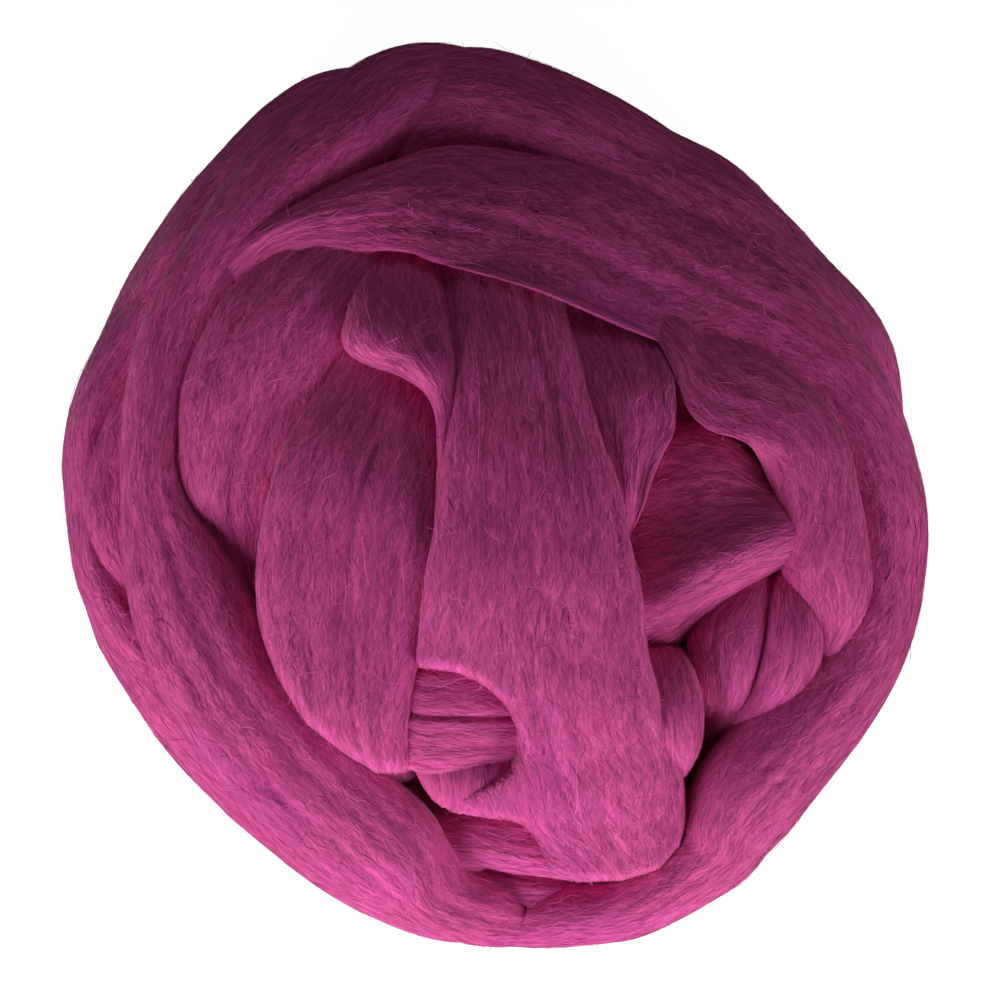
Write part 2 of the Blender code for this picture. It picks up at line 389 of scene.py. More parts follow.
class Signal:
    """A shader socket that can be used in arithmetic."""

    def __init__(self, tree: bpy.types.NodeTree, socket: bpy.types.NodeSocket) -> None:
        """Wraps a node's output socket."""
        self.tree = tree
        self.socket = socket

    def combined(self, operation: str, first: "Signal | float", second: "Signal | float") -> "Signal":
        """Adds a Math node.

        Args:
            operation: The node's operation.
            first: Its first input.
            second: Its second input.

        Returns:
            The node's output.
        """
        maths = self.tree.nodes.new("ShaderNodeMath")
        maths.operation = operation
        for slot, value in zip(maths.inputs, (first, second)):
            if isinstance(value, Signal):
                self.tree.links.new(value.socket, slot)
            else:
                slot.default_value = value
        return Signal(self.tree, maths.outputs[0])

    def __add__(self, other: "Signal | float") -> "Signal":
        """Adds."""
        return self.combined("ADD", self, other)

    def __sub__(self, other: "Signal | float") -> "Signal":
        """Subtracts."""
        return self.combined("SUBTRACT", self, other)

    def __rsub__(self, other: float) -> "Signal":
        """Subtracts from a number."""
        return self.combined("SUBTRACT", other, self)

    def __mul__(self, other: "Signal | float") -> "Signal":
        """Multiplies."""
        return self.combined("MULTIPLY", self, other)

    def __truediv__(self, other: "Signal | float") -> "Signal":
        """Divides."""
        return self.combined("DIVIDE", self, other)

    __radd__ = __add__
    __rmul__ = __mul__

    def size(self) -> "Signal":
        """The value without its sign."""
        return self.combined("ABSOLUTE", self, 0.0)

    def held(self) -> "Signal":
        """The same value, held between 0 and 1."""
        return self.combined("MINIMUM", self.combined("MAXIMUM", self, 0.0), 1.0)


class ShaderBench:
    """A new material with a Principled shader, and the means to add nodes to it."""

    def __init__(self, name: str) -> None:
        """Starts the material."""
        self.material = bpy.data.materials.new(name)
        self.material.use_nodes = True
        self.tree = self.material.node_tree
        self.shader = self.tree.nodes["Principled BSDF"]

    def node(self, kind: str, settings: dict | None = None, inputs: dict | None = None) -> bpy.types.Node:
        """Adds a node.

        Args:
            kind: The node's type.
            settings: Its settings by name, which are set first.
            inputs: Values or signals by socket name or number.

        Returns:
            The node.
        """
        made = self.tree.nodes.new(kind)
        for name, value in (settings or {}).items():
            setattr(made, name, value)
        for name, value in (inputs or {}).items():
            self.feed(made.inputs[name], value)
        return made

    def feed(self, slot: bpy.types.NodeSocket, value: "Signal | float | tuple") -> None:
        """Links a signal to a socket, or sets its value."""
        if isinstance(value, Signal):
            self.tree.links.new(value.socket, slot)
        else:
            slot.default_value = value

    def dress(self, inputs: dict[str, "Signal | float | tuple"]) -> bpy.types.Material:
        """Sets the shader's sockets by name, and returns the material."""
        for name, value in inputs.items():
            self.feed(self.shader.inputs[name], value)
        return self.material

    def out(self, node: bpy.types.Node, output: str | int = 0) -> Signal:
        """One output of a node, as a signal."""
        return Signal(self.tree, node.outputs[output])

    def vector(self, x: Signal | float, y: Signal | float, z: Signal | float = 0.0) -> Signal:
        """Joins three values into a vector."""
        return self.out(self.node("ShaderNodeCombineXYZ", inputs={"X": x, "Y": y, "Z": z}))

    def noise(self, place: Signal, detail: float = 2.0, scale: float = 1.0) -> Signal:
        """A noise from 0 to 1 over a place."""
        made = self.node(
            "ShaderNodeTexNoise",
            {"noise_dimensions": "3D"},
            {"Vector": place, "Scale": scale, "Detail": detail, "Roughness": 0.55},
        )
        return self.out(made, "Fac")

    def blend(self, factor: Signal | float, first: Signal | Colour, second: Signal | Colour) -> Signal:
        """Mixes two colours.

        Args:
            factor: 0 for the first and 1 for the second.
            first: A colour or a colour signal.
            second: A colour or a colour signal.

        Returns:
            The mixed colour.
        """
        mix = self.node("ShaderNodeMix", {"data_type": "RGBA"})
        sockets = [s for s in mix.inputs if s.enabled]
        for slot, value in zip(sockets, (factor, first, second)):
            self.feed(slot, (*value, 1.0) if isinstance(value, tuple) else value)
        return Signal(self.tree, [s for s in mix.outputs if s.enabled][0])

    def run(self, name: str) -> tuple[Signal, Signal]:
        """The u and v of one of the piece's maps."""
        place = self.node("ShaderNodeUVMap", {"uv_map": name})
        parts = self.node("ShaderNodeSeparateXYZ", inputs={0: self.out(place)})
        return self.out(parts, "X"), self.out(parts, "Y")


@dataclass(frozen=True)
class FeltLayer:
    """A layer of felted fibres too fine to tell apart: a stretched noise.

    Attributes:
        long: The length of its streaks, in millimetres.
        apart: How far apart they are, in millimetres.
        slant: How much they drift across as they run.
        strays: Whether they follow the wool's crinkle.
        number: What sets this layer apart from the others.
        detail: How many finer noises it has.
        tone: Its share in the colour: partly random tone, partly painted shade and highlight of the fibres.
        height: Its share in the relief.
    """

    long: float
    apart: float
    slant: float
    strays: bool
    number: float
    detail: float
    tone: float
    height: float

    def streaks(self, bench: ShaderBench, along: Signal, around: Signal, strayed: Signal) -> Signal:
        """Draws the layer.

        Args:
            bench: The material's bench.
            along: Millimetres along the turn.
            around: Millimetres round it.
            strayed: The same, as the crinkle shifts it.

        Returns:
            Values about 0.
        """
        aside = strayed if self.strays else around
        if self.slant:
            aside = aside + along * self.slant
        place = bench.vector(along / self.long, aside / self.apart, self.number)
        return bench.noise(place, detail=self.detail) - 0.5


@dataclass(frozen=True)
class HairLayer:
    """A layer of fine hairs: the level lines of a stretched noise.

    Attributes:
        long: The hairs' length, in millimetres.
        apart: How far apart they are, in millimetres.
        slant: How much they drift across as they run.
        bend: How far they bend aside, in millimetres.
        fine: How thin they are: more is thinner.
        number: What sets this layer apart from the others.
    """

    long: float
    apart: float
    slant: float
    bend: float
    fine: float
    number: float

    def lines(self, bench: ShaderBench, along: Signal, around: Signal) -> Signal:
        """Draws the hairs.

        Args:
            bench: The material's bench.
            along: Millimetres along the turn.
            around: Millimetres round it.

        Returns:
            1 on a hair and 0 between the hairs.
        """
        wobble = bench.noise(bench.vector(along / 7, around / 5, self.number), detail=1.0) - 0.5
        aside = around + along * self.slant + wobble * self.bend
        place = bench.vector(along / self.long, aside / self.apart, self.number + 3.3)
        return (1.0 - (bench.noise(place, detail=1.0) - 0.5).size() * self.fine).held()


@dataclass(frozen=True)
class CombedWool:
    """The dyed wool of the turns: felted fibres that run along the strand, with painted shade between them
    and painted highlight on them, and slow changes of hue.

    Attributes:
        name: The material's name.
        deep: The darkest colour, where the wool is dense: partly the dye, partly painted shade between the
            fibres.
        light: The lightest colour: partly the dye, partly painted highlight where fibres catch the light.
        violet: The cooler dye that shows in patches.
        crimson: The warmer dye that shows in patches.
        felt: The felted fibres, coarse and fine.
        hairs: The hairs that can be told apart.
        crinkle: How far the wool's crinkle shifts the felted fibres, in millimetres.
        hair_tone: How far the hairs lighten the colour: a painted highlight of single hairs.
        hair_height: The hairs' share in the relief.
        contrast: How strongly the fibres' painted shade and highlight turn the deep colour to the light one.
        shade: How light the wool is on average, from 0 to 1, before the fibres' painted shade and highlight.
        relief: How high the relief is, in millimetres.
        relief_strength: How strongly it shows, from 0 to 1.
    """

    name: str = "combed_wool"
    deep: Colour = (0.32, 0.018, 0.12)
    light: Colour = (0.86, 0.120, 0.41)
    violet: Colour = (0.46, 0.040, 0.30)
    crimson: Colour = (0.66, 0.058, 0.23)
    felt: tuple[FeltLayer, ...] = (
        FeltLayer(6.0, 0.7, 0.0, True, 4.1, 2.0, tone=0.9, height=0.81),
        FeltLayer(7.0, 0.8, 0.3, True, 11.1, 1.0, tone=0.5, height=0.45),
        FeltLayer(7.0, 0.8, -0.24, True, 14.6, 1.0, tone=0.5, height=0.45),
        FeltLayer(0.8, 0.5, 0.0, False, 7.7, 1.0, tone=0.45, height=0.3),
        FeltLayer(32.0, 2.8, 0.0, True, 21.2, 2.0, tone=0.7, height=1.2),
    )
    hairs: tuple[HairLayer, ...] = (
        HairLayer(13, 1.5, 0.0, 4.0, 9.0, number=31.0),
        HairLayer(10, 1.7, 0.13, 4.0, 10.0, number=37.0),
        HairLayer(10, 1.8, -0.16, 4.0, 10.0, number=43.0),
        HairLayer(7, 2.2, 0.5, 3.0, 12.0, number=49.0),
    )
    crinkle: float = 1.8
    hair_tone: float = 0.12
    hair_height: float = 0.15
    contrast: float = 1.25
    shade: float = 0.36
    relief: float = 0.5
    relief_strength: float = 0.55

    def material(self) -> bpy.types.Material:
        """Builds the material and returns it."""
        bench = ShaderBench(self.name)
        along, around = bench.run(RUN_MAP)
        crinkle = bench.noise(bench.vector(along / 3.4, around / 2.4, 1.7), detail=1.0) - 0.5
        strayed = around + crinkle * self.crinkle
        # The hairs lighten the colour along their lines, a painted highlight of single hairs catching the
        # light, and raise the relief.
        hairs = sum(layer.lines(bench, along, around) for layer in self.hairs)
        tone, height = hairs * self.hair_tone, hairs * self.hair_height
        for layer in self.felt:
            streaks = layer.streaks(bench, along, around, strayed)
            tone, height = tone + streaks * layer.tone, height + streaks * layer.height
        place = bench.out(bench.node("ShaderNodeTexCoord"), "Object")
        cooler = bench.noise(place, detail=2.0, scale=24.0)
        warmer = bench.noise(bench.vector(along / 55, around / 16, 33.0), detail=1.0)
        # From the deep colour to the light one: partly random tone, partly painted shade between the fibres
        # and painted highlight on them.
        colour = bench.blend((tone * self.contrast + self.shade).held(), self.deep, self.light)
        colour = bench.blend(((cooler - 0.46) * 2.6).held() * 0.55, colour, self.violet)
        colour = bench.blend(((warmer - 0.50) * 2.6).held() * 0.45, colour, self.crimson)
        relief = {"Strength": self.relief_strength, "Distance": self.relief * MM, "Height": height}
        return bench.dress({
            "Base Color": colour,
            "Roughness": (0.8 + tone * 0.1).held(),
            "Normal": bench.out(bench.node("ShaderNodeBump", inputs=relief)),
            "Specular IOR Level": 0.12,
            "Sheen Weight": 0.2,
            "Sheen Roughness": 0.5,
            "Sheen Tint": (1.0, 0.50, 0.82, 1.0),
        })


@dataclass(frozen=True)
class LooseFibre:
    """Single fibres: a little paler than the mass of the wool, each with a shade of its own.

    Attributes:
        name: The material's name.
        deep: The darkest fibres.
        pale: The palest fibres.
    """

    name: str = "loose_fibre"
    deep: Colour = (0.34, 0.02, 0.14)
    pale: Colour = (0.84, 0.145, 0.45)

    def material(self) -> bpy.types.Material:
        """Builds the material and returns it."""
        bench = ShaderBench(self.name)
        shade, along = bench.run(DRAWN_MAP)
        return bench.dress({
            "Base Color": bench.blend((shade + (along - 0.5) * 0.15).held(), self.deep, self.pale),
            "Roughness": 0.8 - shade * 0.1,
            "Specular IOR Level": 0.15,
            "Sheen Weight": 0.2,
            "Sheen Roughness": 0.4,
        })


# --- the turns -------------------------------------------------------------------------------------


@dataclass
class Rings:
    """Where the rings of a turn lie and how large they are, in metres.

    Attributes:
        middles: The middle of each ring.
        side: The unit direction across it.
        up: The unit direction out of it.
        width: Its width.
        thick: Its thickness.
        sense: 1 if side points right for someone who travels along, or -1.
    """

    middles: Array
    side: Array
    up: Array
    width: Array
    thick: Array
    sense: int = 1

    # How wide the last ring of a tip is, as a share of the turn's width.
    end_width = 0.03

    def with_tips(self, count: int) -> "Rings":
        """The same rings with a rounded tip at both ends.

        Args:
            count: How many rings each tip has.

        Returns:
            The longer rings.
        """
        swing = np.linspace(0, math.pi / 2, count + 1)[1:]
        shrink = np.maximum(np.cos(swing), self.end_width)
        parts = {"middles": [], "side": [], "up": [], "width": [], "thick": []}
        for end, inner in ((0, 1), (-1, -2)):
            out = unit(self.middles[end] - self.middles[inner])
            reach = min(self.width[end], self.thick[end]) / 2
            parts["middles"].append(self.middles[end] + out * reach * np.sin(swing)[:, None])
            parts["side"].append(np.repeat(self.side[end][None], count, axis=0))
            parts["up"].append(np.repeat(self.up[end][None], count, axis=0))
            parts["width"].append(self.width[end] * shrink)
            parts["thick"].append(self.thick[end] * shrink)
        joined = {
            name: np.concatenate([first[::-1], getattr(self, name), last])
            for name, (first, last) in parts.items()
        }
        return Rings(**joined, sense=self.sense)


@dataclass
class Turn:
    """One turn of the strand, as a closed rope or band with locks and furrows along it.

    Attributes:
        name: The piece's name.
        rows: Its table: sections if it is a rope, edges if it is a broad band.
        furrows: The grooves and ridges along it.
        dives: Where its fibres turn down.
        hidden: The face that the ball covers, where its maps meet.
        spacing: How far apart its points are round it and along it, in millimetres.
        power: The shape of its section: 2 is an ellipse, and more is squarer.
        lip: How far its right edge thins to a high lip, from 0 to 1.
        lip_from: The shares of its length between which the lip grows.
        lip_to: The shares of its length between which the lip fades away.
        seed: What its random locks start from.
        skin: Its surface, once it is wound.
    """

    name: str
    rows: tuple[Section, ...] | tuple[Edges, ...]
    furrows: tuple[Furrow, ...] = ()
    dives: tuple[Dive, ...] = ()
    hidden: Hidden = Hidden.BELOW
    spacing: tuple[float, float] = (1.05, 2.4)
    power: float = 2.3
    lip: float = 0.0
    lip_from: tuple[float, float] = (-1.0, -0.5)
    lip_to: tuple[float, float] = (1.5, 2.0)
    seed: int = 0
    skin: Skin | None = field(default=None, repr=False)

    tip_rings = 5
    # How much closer together the points are on the face that shows.
    crowding = 0.4
    # How finely the outline of the section is measured, in points.
    outline_points = 1440
    fewest_sides = 20
    # Where the lip thins, from nothing to all of it, by the place across the section.
    lip_face = (0.1, 1.0)
    locks = Ripple(slowest=2, fastest=6, drift=9.0)
    strands = Ripple(slowest=9, fastest=24, drift=16.0, waves=28)
    swelling = Ripple(slowest=0, fastest=3, drift=16.0, waves=14)
    # How deep the creases between locks, the strands and the slow swelling are, in millimetres.
    lock_depth = 0.3
    strand_depth = 0.06
    swell_depth = 0.4
    # How steep a crease between locks is: more is narrower.
    lock_slope = 1.2
    # The mean of width and thickness from which a turn has all of this relief, in millimetres.
    full_size = 14.0
    # A furrow sets in between these heights on the section, and between these shares of its length.
    furrow_face = (-0.2, 0.35)
    furrow_fade = (-0.12, 0.15)

    def rings(self) -> Rings:
        """Works out the rings from the table."""
        if isinstance(self.rows[0], Edges):
            rows = smooth_rows(self.rows, self.spacing[1], points=2) * MM
            across = rows[:, 3:6] - rows[:, :3]
            middles = (rows[:, :3] + rows[:, 3:6]) / 2
            side = unit(across)
            up = unit(np.cross(side, unit(np.gradient(middles, axis=0))))
            sense = 1 if up[:, 2].mean() > 0 else -1
            return Rings(middles, side, up * sense, np.linalg.norm(across, axis=1), rows[:, 6], sense)
        rows = smooth_rows(self.rows, self.spacing[1])
        middles = rows[:, :3] * MM
        tangent = unit(np.gradient(middles, axis=0))
        side = unit(np.cross(tangent, [0.0, 0.0, 1.0]))
        up = np.cross(side, tangent)
        lean = np.radians(rows[:, 5:6])
        side, up = side * np.cos(lean) - up * np.sin(lean), up * np.cos(lean) + side * np.sin(lean)
        return Rings(middles, side, up, rows[:, 3] * MM, rows[:, 4] * MM)

    def section(self, rings: Rings) -> tuple[Array, Array, Array, float]:
        """Shapes the turn's section, with its points closer together where it shows.

        Args:
            rings: The turn's rings.

        Returns:
            Each point's share of the way round, its place across and its place up, both from -1 to 1,
            and the section's mean length round, in metres.
        """
        angle = np.radians(self.hidden.value) + rings.sense * np.linspace(0, math.tau, self.outline_points)
        across = np.copysign(np.abs(np.cos(angle)) ** (2 / self.power), np.cos(angle))
        height = np.copysign(np.abs(np.sin(angle)) ** (2 / self.power), np.sin(angle))
        steps = np.hypot(np.diff(across) * rings.width.mean(), np.diff(height) * rings.thick.mean()) / 2
        run = np.concatenate([[0], np.cumsum(steps)])
        girth = run[-1]
        sides = max(self.fewest_sides, round(girth / MM / self.spacing[0]))
        even = np.arange(sides) / sides
        around = even + self.crowding * np.sin(math.tau * even) / math.tau
        return around, np.interp(around, run / girth, across), np.interp(around, run / girth, height), girth

    def wind(self) -> None:
        """Makes the turn's skin, in the table's own frame but in metres."""
        rings = self.rings()
        around, across, height, girth = self.section(rings)
        rings = rings.with_tips(self.tip_rings)
        along = np.concatenate([[0], np.cumsum(np.linalg.norm(np.diff(rings.middles, axis=0), axis=1))])
        share = along / along[-1]
        fade = smooth_step(*self.lip_from, share) * (1 - smooth_step(*self.lip_to, share))
        thinned = self.lip * fade[:, None] * smooth_step(*self.lip_face, across)
        height = height * (1 - thinned) + thinned
        places = (
            rings.middles[:, None]
            + rings.side[:, None] * (across * rings.width[:, None] / 2)[:, :, None]
            + rings.up[:, None] * (height * rings.thick[:, None] / 2)[:, :, None]
        )
        self.skin = Skin(places, along, girth, self.tip_rings, around)
        self.part_locks(across, height, rings)
        if self.dives:
            high = self.skin.places[:, :, 2]
            pressed = high - np.max([dive.press(self.skin.places) for dive in self.dives], axis=0)
            self.skin.places[:, :, 2] = np.maximum(pressed, Dive.stop(high))
        self.skin.refresh()

    def part_locks(self, across: Array, height: Array, rings: Rings) -> None:
        """Presses the furrows and the creases between locks into the skin.

        Args:
            across: Each side's place across the section.
            height: Each point's place up the section.
            rings: The turn's rings.
        """
        skin = self.skin
        along = skin.along[:, None]
        full = np.clip((rings.width + rings.thick) / 2 / (self.full_size * MM), 0, 1)[:, None]
        locks = self.locks.at(skin.around, along, self.seed)
        depth = -self.lock_depth * (1 - np.minimum(np.abs(locks) * self.lock_slope, 1)) ** 2
        depth = depth + self.strand_depth * self.strands.at(skin.around, along, self.seed + 1)
        depth = depth + self.swell_depth * self.swelling.at(skin.around, along, self.seed + 2)
        outer = smooth_step(*self.furrow_face, height * (1 if self.hidden is Hidden.BELOW else -1))
        share = skin.along / skin.along[-1]
        for furrow in self.furrows:
            progress = (share - furrow.starts) / (furrow.ends - furrow.starts)
            middle = furrow.across_start + (furrow.across_end - furrow.across_start) * np.clip(progress, 0, 1)
            aside = (across[None] - middle[:, None]) * rings.width[:, None] / 2 / (furrow.width * MM)
            fade = smooth_step(*self.furrow_fade, progress) * smooth_step(*self.furrow_fade, 1 - progress)
            depth = depth - furrow.depth * np.exp(-(aside**2)) * fade[:, None] * outer
        skin.places = skin.places + skin.outward * (depth * full * MM)[:, :, None]

    def move(self, shift: Array) -> None:
        """Shifts the skin, and presses flat what would reach into the ground."""
        self.skin.places = self.skin.places + shift
        low = self.skin.places[:, :, 2]
        self.skin.places[:, :, 2] = np.maximum(low, 0.0)
        self.skin.refresh()

    def build(self, material: bpy.types.Material) -> bpy.types.Object:
        """Makes the piece from its skin.

        Args:
            material: The wool.

        Returns:
            The piece, which stands for the ball's solid together with the other turns.
        """
        piece = place_piece(self.name, self.skin.mesh(self.name), material)
        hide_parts(CAD_NODE)
        return piece


@dataclass
class Spiral:
    """A flat spiral of the strand, worked out from its stages.

    Attributes:
        name: The piece's name.
        stages: Where it runs, by the turns it has made.
        start_angle: Where it starts, in degrees.
        width: The strand's width, in millimetres.
        thick: The strand's thickness, in millimetres.
        wander: How far it is out of round, in millimetres.
        lift: How far it rises and falls, in millimetres.
        hidden: The face that the ball covers.
        spacing: How far apart its points are round it and along it, in millimetres.
        per_turn: How many sections each turn is worked out from.
        power: The shape of its section.
    """

    name: str
    stages: tuple[SpiralStage, ...]
    start_angle: float
    width: float
    thick: float
    wander: float
    lift: float
    hidden: Hidden
    spacing: tuple[float, float] = (1.6, 4.5)
    per_turn: int = 12
    power: float = 2.1

    def turn(self) -> Turn:
        """The spiral as one long turn."""
        stages = np.array(self.stages)
        rows = []
        for turns in np.arange(0, stages[-1, 0], 1 / self.per_turn):
            radius, z, roll = (np.interp(turns, stages[:, 0], column) for column in stages[:, 1:].T)
            angle = math.radians(self.start_angle) + math.tau * turns
            radius += self.wander * math.sin(2 * angle)
            z += self.lift * math.sin(3 * angle + turns)
            place = radius * math.cos(angle), radius * math.sin(angle), z
            rows.append(Section(*place, self.width, self.thick, roll))
        return Turn(self.name, tuple(rows), hidden=self.hidden, spacing=self.spacing, power=self.power)


